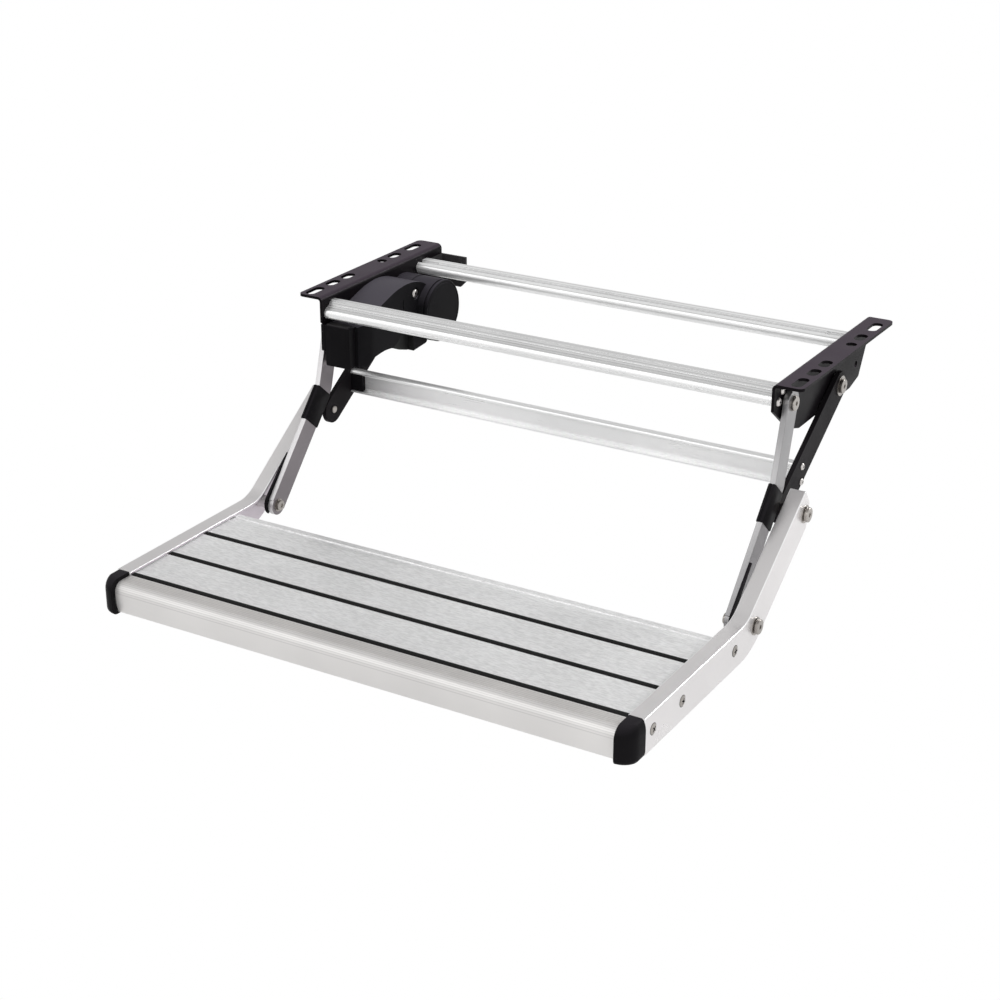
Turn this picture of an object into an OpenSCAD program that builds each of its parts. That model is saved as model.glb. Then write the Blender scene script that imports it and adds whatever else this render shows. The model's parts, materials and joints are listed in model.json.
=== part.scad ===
// Folding caravan entry step, shown let down.
// Frame: origin midway between the two round locating holes, on the face that
// bolts to the chassis. +X to the right, +Y in under the floor, +Z up.

/* [Tread] */
// Length of the planks that shows between the side arms
tread_w = 550; // [400:5:700]
// Drop from the mounting face to the top of the planks
tread_drop = 202; // [190:1:215]
// Front edge of the ribbed planks, measured forward from the locating holes
tread_front = 454.8; // [445:1:460]
// Pitch of the planks, one plank and one grip strip
plank_pitch = 57; // [50:0.5:60]
// Height of a plank
plank_h = 24; // [20:0.5:26]
// Wall of the plank extrusions
plank_wall = 2.2; // [1.5:0.1:3]
// Width of a grip strip
strip_w = 7.5; // [6:0.5:10]
// Pitch of the fine ribs on a plank
rib_pitch = 2; // [1.8:0.1:4]
// Depth of the grooves between ribs
rib_depth = 0.6; // [0.4:0.1:1.2]
// Depth of the nose profile in front of the first strip
nose_depth = 27; // [22:0.5:32]
// Height of the nose profile's front face
nose_h = 31; // [28:0.5:33]

/* [Side arms] */
// Width of the side arm's top flange
arm_flange = 17; // [14:0.5:22]
// Height of the side arm
arm_h = 37; // [34:0.5:40]
// Wall of the side arm
arm_wall = 3.5; // [2.5:0.1:4.5]
// Radius of the side arm's bend, on its centre line
arm_bend = 60; // [40:1:80]
// Length of the side arm past its upper pivot
arm_tip = 14; // [13.5:0.5:20]

/* [Pivots] */
// Front arm pivot on the bracket, back from the locating holes
front_pivot_y = -116.5; // [-120:0.5:-113]
// Front arm pivot, below the mounting face
front_pivot_z = -26.5; // [-28:0.5:-22]
// Rear arm pivot on the bracket, back from the locating holes
rear_pivot_y = 8.5; // [4:0.5:12]
// Rear arm pivot, below the mounting face
rear_pivot_z = -48.5; // [-51:0.5:-46]
// Lower front arm pivot, forward of the locating holes
foot_pivot_y = -231.5; // [-234:0.5:-226]
// Lower front arm pivot, below the top of the planks
foot_pivot_z = -7; // [-10:0.5:-6]
// Rear arm pivot on the side arm, back from the lower front arm pivot
link_pivot_y = 107; // [102:0.5:110]
// Rear arm pivot on the side arm, above the lower front arm pivot
link_pivot_z = 74.5; // [73:0.5:78]
// Diameter of the pivot bolts
pivot_d = 8; // [6:0.5:10]
// Running clearance of the arms on their bolts, each side
pivot_gap = 0.08; // [0.05:0.01:0.1]

/* [Arms] */
// Thickness of a front arm
front_arm_t = 6; // [5:0.5:8]
// Width of a front arm
front_arm_w = 24; // [20:0.5:26]
// How far a front arm's elbow stands back from the line of its pivots
elbow_off = 23; // [18:0.5:26]
// Distance of the elbow below the upper pivot
elbow_drop = 78; // [70:1:86]
// Thickness of a rear arm
rear_arm_t = 5; // [4:0.5:5.5]
// Width of a rear arm
rear_arm_w = 30; // [26:0.5:32]
// Gap between bracket plate and arms, taken up by a washer
arm_gap = 1.6; // [1.4:0.1:1.8]
// Length of the buffer sleeve on a front arm
sleeve_l = 40; // [30:1:46]
// Wall of the buffer sleeve on the flat of the arm
sleeve_wall = 0.8; // [0.6:0.1:0.9]
// Wall of the buffer sleeve on the edges of the arm
sleeve_edge = 1.6; // [1:0.1:2]

/* [Brackets] */
// How far the bracket plates stand inboard of the plank ends
bracket_inset = 15.5; // [15.5:0.5:20]
// Thickness of the bracket sheet
bracket_t = 3; // [2.5:0.5:3.5]
// Width of the mounting flange
flange_w = 31; // [28:0.5:36]
// Reach of the bracket in front of the locating holes
bracket_front = 146; // [142:1:150]
// Reach of the bracket behind the locating holes
bracket_rear = 92; // [88:1:98]
// Height of the bracket plate
bracket_h = 66; // [63:1:72]
// Outer radius of the bend between plate and flange
bracket_bend = 5.5; // [5:0.5:8]
// Distance of a row of holes from the inner face of its bracket plate
hole_row = 21; // [20:0.5:22]
// Diameter of the locating holes and width of the slots
hole_d = 11; // [9:0.5:12]
// Length of the long end slots
end_slot = 27; // [22:1:30]
// Length of the short slots
mid_slot = 20; // [16:1:22]

/* [Crossbars] */
// Wall of the crossbar extrusions
bar_wall = 2; // [1.5:0.1:2.5]
// Radius of the front crossbar's nose
bar_nose = 6.5; // [6:0.5:8]
// Depth of the front crossbar behind the middle of its nose
bar_back = 14; // [12:0.5:16]
// Height of the front crossbar above the middle of its nose
bar_rise = 12.5; // [12:0.5:15]
// Depth of the rear crossbar
rear_bar_w = 22; // [18:0.5:25]
// Height of the rear crossbar
rear_bar_h = 14; // [11:0.5:15]
// Height of the lower crossbar channel
channel_h = 26; // [22:0.5:28]
// Depth of the lower crossbar channel
channel_w = 8; // [7.5:0.5:9]

/* [Drive] */
// Depth of the gear housing along the pivot
housing_w = 41; // [36:1:46]
// Radius of the round gear cover
cover_r = 35; // [30:0.5:36]
// How far the round gear cover stands out of the housing
cover_t = 13; // [10:0.5:16]
// Width of the connector box
box_w = 30; // [26:1:34]

/* [Hidden] */
$fn = 48;
eps = 0.01;
// Clearance between pieces that only touch
seat = 0.1;
// Clearance round a screw shank
screw_gap = 0.2;

// Levels and stations of the tread
tread_z = -tread_drop;
strip_y = [for (i = [0 : 2]) -tread_front + i * plank_pitch];
plank_l = tread_w / 2 + arm_flange - arm_wall - seat;
arm_out = tread_w / 2 + arm_flange;
arm_in = arm_out - arm_wall;

// Stations across the width
plate_in = tread_w / 2 - bracket_inset;
plate_out = plate_in + bracket_t;
arm_face = plate_out + arm_gap;
front_arm_out = arm_face + front_arm_t;
rear_arm_out = arm_face + rear_arm_t;

// The four pivots, each as [y, z]
p_front = [front_pivot_y, front_pivot_z];
p_rear = [rear_pivot_y, rear_pivot_z];
p_foot = [foot_pivot_y, tread_z + foot_pivot_z];
p_link = p_foot + [link_pivot_y, link_pivot_z];

// Fasteners
head_d = 14;
head_h = 3.2;
washer_d = 18;
washer_t = 1;
screw_d = 4;
screw_head_d = 9;
screw_head_h = 2.2;

function unit(v) = v / norm(v);
function turned(v) = [-v[1], v[0]];
function angle(v) = atan2(v[1], v[0]);

// Front arm: elbow between the pivots, pushed back from their line
arm_u = unit(p_foot - p_front);
arm_n = turned(arm_u);
elbow = p_front + arm_u * elbow_drop + arm_n * elbow_off;
shin_u = unit(p_foot - elbow);

// Side arm: the bend's corner lies on the flat's centre line, on the line of the pivots
link_u = unit(p_link - p_foot);
arm_slope = angle(link_u);
arm_top = tread_z + arm_wall;
arm_mid = arm_top - arm_h / 2;
// How far the arm's centre line runs above the line of its pivots
arm_lift = 1;
arm_line = p_foot + turned(link_u) * arm_lift;
arm_corner = [arm_line[0] + (arm_mid - arm_line[1]) / tan(arm_slope), arm_mid];
arm_tangent = arm_bend * tan(arm_slope / 2);
bend_start = arm_corner[0] - arm_tangent;
arm_front = strip_y[0] - 4.7;
arm_end = norm(p_link - arm_corner) + arm_tip;
// How far the nose profile runs on past the planks, up to the end caps
cap_set = 1.5;
// Radius of an end cap's corner, seen from above
cap_corner = 17.5;

// Brackets
hole_x = plate_in + hole_row;
round_holes = [0];
long_slots = [-128.5, 63];
short_slots = [-95.5, -67, 25];
flange_out = plate_in + flange_w;

// Crossbars
front_bar = [-136.5, -19];
rear_bar = [37.5, -8.5];
bar_port = 3.2;
bar_l = plate_in - seat;
channel = [-91.5, -98.5];
channel_l = arm_face - seat;
channel_ports = [[9.5, -6.2], [9.5, -22.5]];

// Drive
house_x = -plate_in + seat;
house_near = house_x + housing_w;
shaft_d = 14;
hub_d = 22;
hub_depth = 24;
drum_r = 34.5;
drum_step = 7;
cover_gap = 1;

// Turns an outline drawn in (Y, Z) to stand across X, from x0 to x1
module across(x0, x1) {
    translate([x0, 0, 0]) rotate([90, 0, 90]) linear_extrude(x1 - x0) children();
}

// A round bar along X
module rod(x0, x1, p, d) {
    translate([x0, p[0], p[1]]) rotate([0, 90, 0]) cylinder(d = d, h = x1 - x0);
}

// The same piece on both sides
module both_sides() {
    children();
    mirror([1, 0, 0]) children();
}

// A bolt or screw whose head's underside lies at x and whose shank runs inboard
module bolt(x, p, shank, head, height, length) {
    rod(x, x + height, p, head);
    rod(x - length, x + eps, p, shank);
}

module ring(x0, x1, p, outer, inner) {
    difference() {
        rod(x0, x1, p, outer);
        rod(x0 - 1, x1 + 1, p, inner);
    }
}

// Slot along Y through the flange
module slot(y, length) {
    reach = (length - hole_d) / 2;
    translate([hole_x, y, -bracket_t - 1]) {
        for (s = [-1, 1])
            translate([0, s * reach, 0]) cylinder(d = hole_d, h = bracket_t + 2);
        translate([-hole_d / 2, -reach, 0]) cube([hole_d, 2 * reach, bracket_t + 2]);
    }
}

// Bracket plate outline, with its sloped front corner and raked rear edge
module plate_outline() {
    top = -bracket_bend;
    polygon([
        [-bracket_front, top], [-bracket_front, -28], [-bracket_front + 40, -bracket_h + 8],
        [-bracket_front + 66, -bracket_h], [bracket_rear - 40, -bracket_h],
        [bracket_rear - 17, -bracket_h + 6], [bracket_rear, -29], [bracket_rear, top]
    ]);
}

// Mounting flange with its two rounded outer corners
module flange_outline() {
    r = 6;
    x0 = plate_in + bracket_bend;
    difference() {
        translate([x0, -bracket_front]) square([flange_out - x0, bracket_front + bracket_rear]);
        for (e = [[-bracket_front, 0], [bracket_rear, -r]])
            translate([flange_out - r, e[0] + e[1]]) square([r + 1, r]);
    }
    for (y = [-bracket_front + r, bracket_rear - r])
        translate([flange_out - r, y]) circle(r);
}

module bracket_bend_piece() {
    length = bracket_front + bracket_rear;
    translate([plate_in + bracket_bend, bracket_rear, -bracket_bend]) rotate([90, 0, 0])
        intersection() {
            difference() {
                cylinder(r = bracket_bend, h = length);
                translate([0, 0, -1]) cylinder(r = bracket_bend - bracket_t, h = length + 2);
            }
            translate([-bracket_bend - 1, 0, -1]) cube([bracket_bend + 1, bracket_bend + 1, length + 2]);
        }
}

module bracket_body() {
    difference() {
        union() {
            across(plate_in, plate_out) plate_outline();
            bracket_bend_piece();
            translate([0, 0, -bracket_t]) linear_extrude(bracket_t) flange_outline();
        }
        for (y = round_holes)
            translate([hole_x, y, -bracket_t - 1]) cylinder(d = hole_d, h = bracket_t + 2);
        for (y = long_slots) slot(y, end_slot);
        for (y = short_slots) slot(y, mid_slot);
        rod(plate_in - 1, plate_out + 1, p_front, pivot_d + 2 * screw_gap);
        for (p = crossbar_screw_places())
            rod(plate_in - 1, plate_out + 1, p, screw_d + 2 * screw_gap);
        rod(plate_in - 1, plate_out + 1, [65, -44], 7);
    }
}

module right_bracket() {
    color("dimgray") difference() {
        bracket_body();
        rod(plate_in - 1, plate_out + 1, p_rear, pivot_d + 2 * screw_gap);
    }
}

module left_bracket() {
    color("dimgray") difference() {
        mirror([1, 0, 0]) bracket_body();
        rod(-plate_out - 1, -plate_in + 1, p_rear, shaft_d + 2 * screw_gap);
    }
}

// Screw places of the front and the rear crossbar, on the bracket plates
function front_screws() = [front_bar + [0, -1.5], front_bar + [9.5, 7.5]];
function rear_screws() = [rear_bar + [11, -5.2]];
function crossbar_screw_places() = concat(front_screws(), rear_screws());

// Front crossbar section: round nose, sloped upper face, flat back
module front_bar_outline() {
    translate(front_bar) {
        circle(bar_nose);
        polygon([
            [0, -bar_nose], [bar_back, -bar_nose], [bar_back, bar_rise],
            [bar_rise - bar_nose + 1, bar_rise], [0, bar_nose]
        ]);
    }
}

// Two fine grooves along the sloped upper face
module front_bar_grooves() {
    translate(front_bar) for (t = [0.3, 0.85])
        translate([t * (bar_rise - bar_nose + 1), bar_nose + t * (bar_rise - bar_nose)])
            rotate(-45) square([1, 0.8], center = true);
}

// Hollow of the front crossbar, left open round its two screw ports
module front_bar_hollow() {
    w = bar_wall;
    translate(front_bar) difference() {
        polygon([
            [0, -bar_nose + w], [bar_back - w, -bar_nose + w], [bar_back - w, bar_rise - w],
            [bar_rise - bar_nose + 2, bar_rise - w], [0, bar_nose - w]
        ]);
        for (p = front_screws()) translate(p - front_bar) circle(bar_port + 0.8);
    }
}

module front_crossbar() {
    color("silver") difference() {
        across(-bar_l, bar_l) front_bar_outline();
        across(-bar_l - 1, bar_l + 1) front_bar_hollow();
        across(-bar_l - 1, bar_l + 1) front_bar_grooves();
        for (p = front_screws()) rod(-bar_l - 1, bar_l + 1, p, screw_d);
    }
}

// Rear crossbar section: low box with a round nose and a groove along its top
module rear_bar_outline() {
    r = rear_bar_h / 2;
    translate(rear_bar) difference() {
        union() {
            translate([r, -r]) circle(r);
            translate([r, -rear_bar_h]) square([rear_bar_w - r, rear_bar_h]);
        }
        translate([7, -2]) square([3, 3]);
        translate([rear_bar_w - 7, -rear_bar_h + 2]) square([5, rear_bar_h - 4]);
    }
}

module rear_crossbar() {
    notch = 24;
    color("silver") difference() {
        across(-bar_l, bar_l) rear_bar_outline();
        for (p = rear_screws()) rod(-bar_l - 1, bar_l + 1, p, screw_d);
        for (x = [-bar_l - 1, bar_l - notch])
            across(x, x + notch + 1) translate(rear_bar + [4.5, -3.4]) square([8, 5]);
    }
}

module crossbar_screws() {
    color("gainsboro") both_sides() for (p = crossbar_screw_places())
        bolt(plate_out, p, screw_d - 0.1, screw_head_d, screw_head_h, bracket_t + 12);
}

module front_pivot_bolts() {
    color("silver") both_sides() {
        bolt(front_arm_out + washer_t, p_front, pivot_d, head_d, head_h - 1,
             front_arm_out + washer_t - plate_in + 2);
        rod(plate_in - 3, plate_in, p_front, 10);
    }
}

module front_pivot_washers() {
    color("silver") both_sides() {
        ring(plate_out, arm_face - seat, p_front, washer_d, pivot_d + 2 * screw_gap);
        ring(front_arm_out + seat, front_arm_out + washer_t, p_front, 16, pivot_d + 2 * screw_gap);
    }
}

module rear_pivot_bolt() {
    color("silver") {
        bolt(rear_arm_out + washer_t, p_rear, pivot_d, head_d, head_h,
             rear_arm_out + washer_t - plate_in + 2);
        rod(plate_in - 5, plate_in, p_rear, 13);
    }
}

module rear_pivot_washer() {
    color("silver") {
        ring(plate_out, arm_face - seat, p_rear, washer_d, pivot_d + 2 * screw_gap);
        ring(rear_arm_out + seat, rear_arm_out + washer_t, p_rear, 21, pivot_d + 2 * screw_gap);
    }
}

// Gear housing: arched top, flat front, lobe round the output shaft
module housing_outline() {
    polygon([
        [-131, -78], [-131, -31.5], [-112, -31.5], [-108, -19], [-96, -16.5], [-83, -13],
        [-70, -9], [-60, -7], [-50, -6], [-38, -6], [-26, -8], [-14, -11], [-4, -16],
        [-4, -83], [-34, -86], [-50, -81], [-70, -72], [-90, -69], [-112, -71],
        [-118, -77], [-121, -79]
    ]);
}

module gear_housing() {
    color("dimgray") difference() {
        union() {
            across(house_x, house_near) housing_outline();
            rod(house_x, house_near - drum_step, p_rear, 2 * drum_r);
        }
        rod(house_x - 1, house_x + hub_depth, p_rear, hub_d + 2);
        rod(house_near - drum_step, house_near + 1, p_rear, 2 * cover_r);
        rod(house_x - 1, house_x + 5, p_front, 12);
        for (p = housing_screw_places()) {
            rod(house_near - 2, house_near + 1, p, screw_head_d + 3);
            rod(house_near - 14, house_near + 1, p, screw_d + 2 * screw_gap);
        }
    }
}

function housing_screw_places() = [[-27, -21]];

module housing_screws() {
    color("gainsboro") for (p = housing_screw_places())
        bolt(house_near - 2 + seat, p, screw_d, screw_head_d, screw_head_h + 0.4, 10);
}

module connector_box() {
    depth = 12;
    wing = 6;
    front = -bracket_front + 3;
    color("dimgray") {
        across(house_x + 1, house_x + box_w) translate([front, -77]) square([depth, 46]);
        across(house_x + 3, house_x + box_w - 2) translate([front + 2, -31]) square([depth - 4, 1.5]);
        across(house_x - wing, house_x + 4) translate([-bracket_front, -62]) square([3.5, 31]);
    }
}

module gear_cover() {
    rim = 3;
    foot = house_near - drum_step;
    color("dimgray") {
        rod(foot, house_near + cover_t - rim, p_rear, 2 * (cover_r - cover_gap));
        rod(house_near + cover_t - rim, house_near + cover_t, p_rear, 2 * cover_r);
    }
}

module rear_support() {
    color("dimgray") {
        across(house_x, house_x + 3) translate([66, -47]) square([bracket_rear - 66, 36]);
        difference() {
            across(house_x, house_x + 34) translate([bracket_rear - 3, -47]) square([3, 36]);
            translate([house_x + 34, bracket_rear - 1.5, -47]) rotate([0, 45, 0])
                cube([10, 5, 10], center = true);
        }
    }
}

// Rear arm with round ends
module rear_arm_outline() {
    hull() {
        translate(p_rear) circle(d = rear_arm_w, $fn = 32);
        translate(p_link) circle(d = rear_arm_w, $fn = 32);
    }
}

function channel_screw_places() = [for (p = channel_ports) channel + p];

module rear_arm_body() {
    difference() {
        across(arm_face, rear_arm_out) rear_arm_outline();
        rod(arm_face - 1, rear_arm_out + 1, p_link, pivot_d + 2 * pivot_gap);
        for (p = channel_screw_places())
            rod(arm_face - 1, rear_arm_out + 1, p, screw_d + 2 * screw_gap);
    }
}

module right_rear_arm() {
    color("dimgray") difference() {
        rear_arm_body();
        rod(arm_face - 1, rear_arm_out + 1, p_rear, pivot_d + 2 * pivot_gap);
    }
}

module left_rear_arm() {
    color("dimgray") difference() {
        mirror([1, 0, 0]) rear_arm_body();
        rod(-rear_arm_out - 1, -arm_face + 1, p_rear, shaft_d);
    }
}

// Lower crossbar: shallow channel open to the front, with a rolled top lip and two screw ports behind
module channel_outline() {
    w = bar_wall;
    lip = 2.7;
    translate(channel) {
        translate([channel_w - w, -channel_h]) square([w, channel_h]);
        translate([lip, -w]) square([channel_w - lip, w]);
        translate([0, -channel_h]) square([channel_w, w]);
        translate([lip, -lip]) circle(lip);
        for (p = channel_ports)
            translate([channel_w - w, p[1] - 3]) square([p[0] + 3 - channel_w + w, 6]);
    }
}

module lower_crossbar() {
    color("silver") difference() {
        across(-channel_l, channel_l) channel_outline();
        for (p = channel_screw_places()) rod(-channel_l - 1, channel_l + 1, p, screw_d);
    }
}

module lower_crossbar_screws() {
    color("gainsboro") both_sides() for (p = channel_screw_places())
        bolt(rear_arm_out, p, screw_d - 0.1, 8, 2, rear_arm_t + 12);
}

// Output shaft of the drive, fixed in the left rear arm
module drive_shaft() {
    color("silver") mirror([1, 0, 0]) {
        rod(plate_in - 18, rear_arm_out, p_rear, shaft_d);
        rod(rear_arm_out, rear_arm_out + 2.5, p_rear, 21);
        rod(rear_arm_out + 2.5, rear_arm_out + 5, p_rear, 11);
    }
}

// Front arm: straight thigh and shin with an elbow between round ends
module front_arm_outline(grow = 0) {
    r = front_arm_w / 2 + grow;
    translate(p_front) circle(front_arm_w / 2 + 1);
    translate(elbow) circle(r);
    translate(p_foot) circle(front_arm_w / 2 - 1);
    bar_between(p_front, elbow, 2 * r);
    bar_between(elbow, p_foot, 2 * r);
}

// A straight band of one width between two points
module bar_between(a, b, width) {
    translate(a) rotate(angle(b - a)) translate([0, -width / 2]) square([norm(b - a), width]);
}

module front_arm_body() {
    difference() {
        across(arm_face, front_arm_out) front_arm_outline();
        rod(arm_face - 1, front_arm_out + 1, p_front, pivot_d + 2 * pivot_gap);
        rod(arm_face - 1, front_arm_out + 1, p_foot, pivot_d + 2 * pivot_gap);
    }
}

module right_front_arm() {
    color("silver") front_arm_body();
}

module left_front_arm() {
    color("silver") mirror([1, 0, 0]) front_arm_body();
}

// Buffer sleeve round the upper shin
module sleeve_body() {
    from = elbow + shin_u * 3;
    to = from + shin_u * sleeve_l;
    outer = front_arm_w + 2 * sleeve_edge;
    difference() {
        across(arm_face - sleeve_wall, front_arm_out + sleeve_wall) bar_between(from, to, outer);
        across(arm_face - eps, front_arm_out + eps)
            bar_between(from - shin_u * 5, to + shin_u * 5, front_arm_w + 2 * eps);
    }
}

module right_sleeve() {
    color("black") sleeve_body();
}

module left_sleeve() {
    color("black") mirror([1, 0, 0]) sleeve_body();
}

// Bush and nut that hold a front arm on its lower bolt
module foot_bush_body() {
    bush_l = front_arm_t - 1;
    rod(arm_face - 4, arm_face, p_foot, 14);
    rod(arm_face - eps, arm_face + bush_l, p_foot, pivot_d);
}

module right_foot_bush() {
    color("silver") foot_bush_body();
}

module left_foot_bush() {
    color("silver") mirror([1, 0, 0]) foot_bush_body();
}

// Points of an arc about c
function arc(c, r, from, to, steps = 10) =
    [for (i = [0 : steps]) let (a = from + (to - from) * i / steps) c + r * [cos(a), sin(a)]];

// A place on the rising part of the side arm, along it and across it
function on_rise(along, off) = arm_corner
    + along * [cos(arm_slope), sin(arm_slope)]
    + off * [-sin(arm_slope), cos(arm_slope)];

// Side arm, seen from the side: flat, bend, then the rise to the link pivot.
// The band lies between two depths below the arm's top edge.
module arm_band(top, bottom) {
    mid = arm_h / 2;
    centre = [bend_start, arm_mid + arm_bend];
    polygon(concat(
        [[arm_front, arm_mid + mid - top]],
        arc(centre, arm_bend - mid + top, -90, arm_slope - 90),
        [on_rise(arm_end, mid - top), on_rise(arm_end, mid - bottom)],
        arc(centre, arm_bend - mid + bottom, arm_slope - 90, -90),
        [[arm_front, arm_mid + mid - bottom]]
    ));
}

// Upper end of the side arm: its lower corner is cut off
module arm_tip_cut() {
    cut = arm_h * 0.55;
    translate(arm_corner) rotate(arm_slope) translate([arm_end, -arm_h / 2])
        polygon([[-cut, -1], [1, -1], [1, cut]]);
}

module side_arm_body() {
    difference() {
        union() {
            across(arm_in, arm_out) difference() {
                arm_band(0, arm_h);
                arm_tip_cut();
            }
            across(tread_w / 2, arm_in + eps) arm_band(0, arm_wall);
        }
        for (p = [p_link, p_foot])
            rod(arm_in - 1, arm_out + 1, p, pivot_d + 2 * screw_gap);
        for (p = side_screw_places())
            translate([arm_in - 1, p[0], p[1]]) rotate([0, 90, 0]) {
                cylinder(d = screw_d + 2 * screw_gap, h = arm_wall + 2);
                translate([0, 0, 1 + arm_wall - 2]) cylinder(d1 = screw_d, d2 = 8.4, h = 2 + eps);
            }
    }
}

module right_side_arm() {
    color("gainsboro") side_arm_body();
}

module left_side_arm() {
    color("gainsboro") mirror([1, 0, 0]) side_arm_body();
}

// Screw ports of the planks
lip_w = 17;
port_back = 11;
port_drop = 13.3;
function side_screw_places() = [
    [strip_y[0] + port_back, tread_z - port_drop],
    [strip_y[1] + port_back, tread_z - port_drop],
    [strip_y[2] + plank_pitch + 7, tread_z - port_drop]
];

module side_screws() {
    color("gainsboro") both_sides() for (p = side_screw_places())
        translate([arm_out - 2, p[0], p[1]]) rotate([0, 90, 0]) {
            cylinder(d1 = screw_d, d2 = 8, h = 2 - seat);
            translate([0, 0, -14]) cylinder(d = screw_d - 0.1, h = 14 + eps);
        }
}

// Grooves between the ribs, from y0 to y1
module rib_grooves(y0, y1) {
    count = floor((y1 - y0) / rib_pitch);
    first = y0 + (y1 - y0 - (count - 1) * rib_pitch) / 2;
    for (i = [0 : count - 1])
        translate([first + i * rib_pitch - rib_pitch / 4, -rib_depth])
            square([rib_pitch / 2, rib_depth + 1]);
}

// Plank section behind the strip at y, in the tread's own height
module plank_outline(y, last = false) {
    front = y + strip_w / 2;
    back = y + plank_pitch - strip_w / 2 + (last ? strip_w / 2 - 1.5 : 0);
    w = plank_wall;
    mid = (front + back) / 2;
    translate([0, tread_z]) difference() {
        union() {
            translate([front, -plank_h]) square([back - front, plank_h]);
            translate([back - eps, -plank_h])
                square([last ? 10 + eps : strip_w / 2, last ? 14 : plank_h - 6]);
            translate([front - strip_w / 2 + seat, -plank_h])
                square([strip_w / 2, plank_h - 6]);
        }
        translate([front + w, -plank_h + w]) square([mid - front - 1.5 * w, plank_h - 2 * w]);
        translate([mid + w / 2, -plank_h + w]) square([back - mid - 1.5 * w, plank_h - 2 * w]);
        rib_grooves(front + 1, back - (last ? lip_w : 1));
        if (last) translate([back - lip_w + 1, -1]) square([lip_w - 8, 2]);
    }
}

module plank_ports(places) {
    for (p = places) translate(p) circle(bar_port + 0.6);
}

module plank(y, places, last = false) {
    color("lightgray") difference() {
        union() {
            across(-plank_l, plank_l) plank_outline(y, last);
            if (len(places) > 0) across(-plank_l, plank_l) {
                plank_ports(places);
                for (p = places) translate([p[0] - plank_wall / 2, tread_z - plank_h + eps])
                    square([plank_wall, plank_h - port_drop]);
            }
        }
        for (p = places) rod(-plank_l - 1, plank_l + 1, p, screw_d);
    }
}

module front_plank() {
    plank(strip_y[0], [side_screw_places()[0]]);
}

module middle_plank() {
    plank(strip_y[1], [side_screw_places()[1]]);
}

module rear_plank() {
    plank(strip_y[2], [side_screw_places()[2]], true);
}

// Rubber grip strip in the channel between two planks
module strip(y) {
    color("black") across(-tread_w / 2 + 0.3, tread_w / 2 - 0.3) translate([y, tread_z]) {
        translate([-strip_w / 2 + seat, -6 + seat]) square([strip_w - 2 * seat, 5.6]);
        intersection() {
            translate([0, -strip_w]) circle(strip_w + 0.8);
            translate([-strip_w / 2 + 0.3, -1]) square([strip_w - 0.6, 3]);
        }
    }
}

module front_strip() {
    strip(strip_y[0]);
}

module middle_strip() {
    strip(strip_y[1]);
}

module rear_strip() {
    strip(strip_y[2]);
}

// Nose profile: ribbed top that rounds over into a plain, slightly bowed front face
module nose_outline() {
    y = strip_y[0];
    back = y - strip_w / 2;
    front = y - nose_depth;
    r = 10;
    bow = 60;
    w = plank_wall;
    translate([0, tread_z]) difference() {
        union() {
            intersection() {
                translate([front, -nose_h]) square([back - front, nose_h]);
                translate([front + bow, -nose_h / 2 + 2]) circle(bow, $fn = 160);
                union() {
                    translate([front + r, -nose_h]) square([back - front, nose_h]);
                    translate([front, -nose_h]) square([r + 1, nose_h - r]);
                    translate([front + r, -r]) circle(r);
                }
            }
            translate([back - eps, -plank_h]) square([strip_w / 2 - seat, plank_h - 6]);
        }
        translate([front + 10, -plank_h + w]) square([back - front - 10 - w, plank_h - 2 * w]);
        translate([front + w + 1, -nose_h + w]) square([5, nose_h - 12]);
        rib_grooves(front + 7, back - 1);
    }
}

module nose_profile() {
    reach = tread_w / 2 + cap_set - seat;
    color("lightgray") across(-reach, reach) nose_outline();
}

// End cap, from above: a block with a large round corner at the front
module cap_plan(x0, x1, y0, depth, r) {
    intersection() {
        union() {
            translate([x0, y0 + r]) square([x1 - x0, depth - r]);
            translate([x0 - r, y0]) square([x1 - x0, r + eps]);
            translate([x1 - r, y0 + r]) circle(r);
        }
        difference() {
            translate([x0, y0]) square([x1 - x0, depth]);
            difference() {
                translate([x1 - r, y0]) square([r + 1, r]);
                translate([x1 - r, y0 + r]) circle(r);
            }
        }
    }
}

// End cap: corner block, rounded in plan and in side view
module end_cap_body() {
    top = arm_top + 0.4;
    depth = arm_front - seat - (strip_y[0] - nose_depth) + 6;
    height = arm_h - 3;
    y0 = arm_front - seat - depth;
    x0 = tread_w / 2 + cap_set;
    x1 = arm_out + 1;
    crown = 12;
    toe = 6;
    intersection() {
        translate([0, 0, top - height]) linear_extrude(height) cap_plan(x0, x1, y0, depth, cap_corner);
        across(x0 - 1, x1 + 1) {
            translate([y0 + crown, top - height]) square([depth - crown, height]);
            translate([y0, top - height + toe]) square([crown + eps, height - crown - toe]);
            translate([y0 + toe, top - height]) square([crown, height - crown]);
            translate([y0 + crown, top - crown]) circle(crown);
            translate([y0 + toe, top - height + toe]) circle(toe);
        }
    }
}

module right_end_cap() {
    color("black") end_cap_body();
}

module left_end_cap() {
    color("black") mirror([1, 0, 0]) end_cap_body();
}

// Bolts that join the rear arms to the side arms
module link_pivot_bolts() {
    color("silver") both_sides() {
        bolt(arm_out + washer_t, p_link, pivot_d, head_d, head_h + 1, arm_out + washer_t - arm_face + 1);
        rod(arm_face - 2.4, arm_face - seat, p_link, 11);
    }
}

module link_pivot_spacers() {
    color("silver") both_sides()
        ring(rear_arm_out + seat, arm_in, p_link, 14, pivot_d + 2 * screw_gap);
}

module link_pivot_washers() {
    color("silver") both_sides()
        ring(arm_out, arm_out + washer_t, p_link, washer_d, pivot_d + 2 * screw_gap);
}

// Outer half of the lower front arm pivots: the bolt ends short of the arm
module foot_pivot_bolts() {
    length = arm_out + washer_t - front_arm_out - 0.4;
    color("silver") both_sides()
        bolt(arm_out + washer_t, p_foot, pivot_d, head_d, head_h + 1, length);
}

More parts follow.
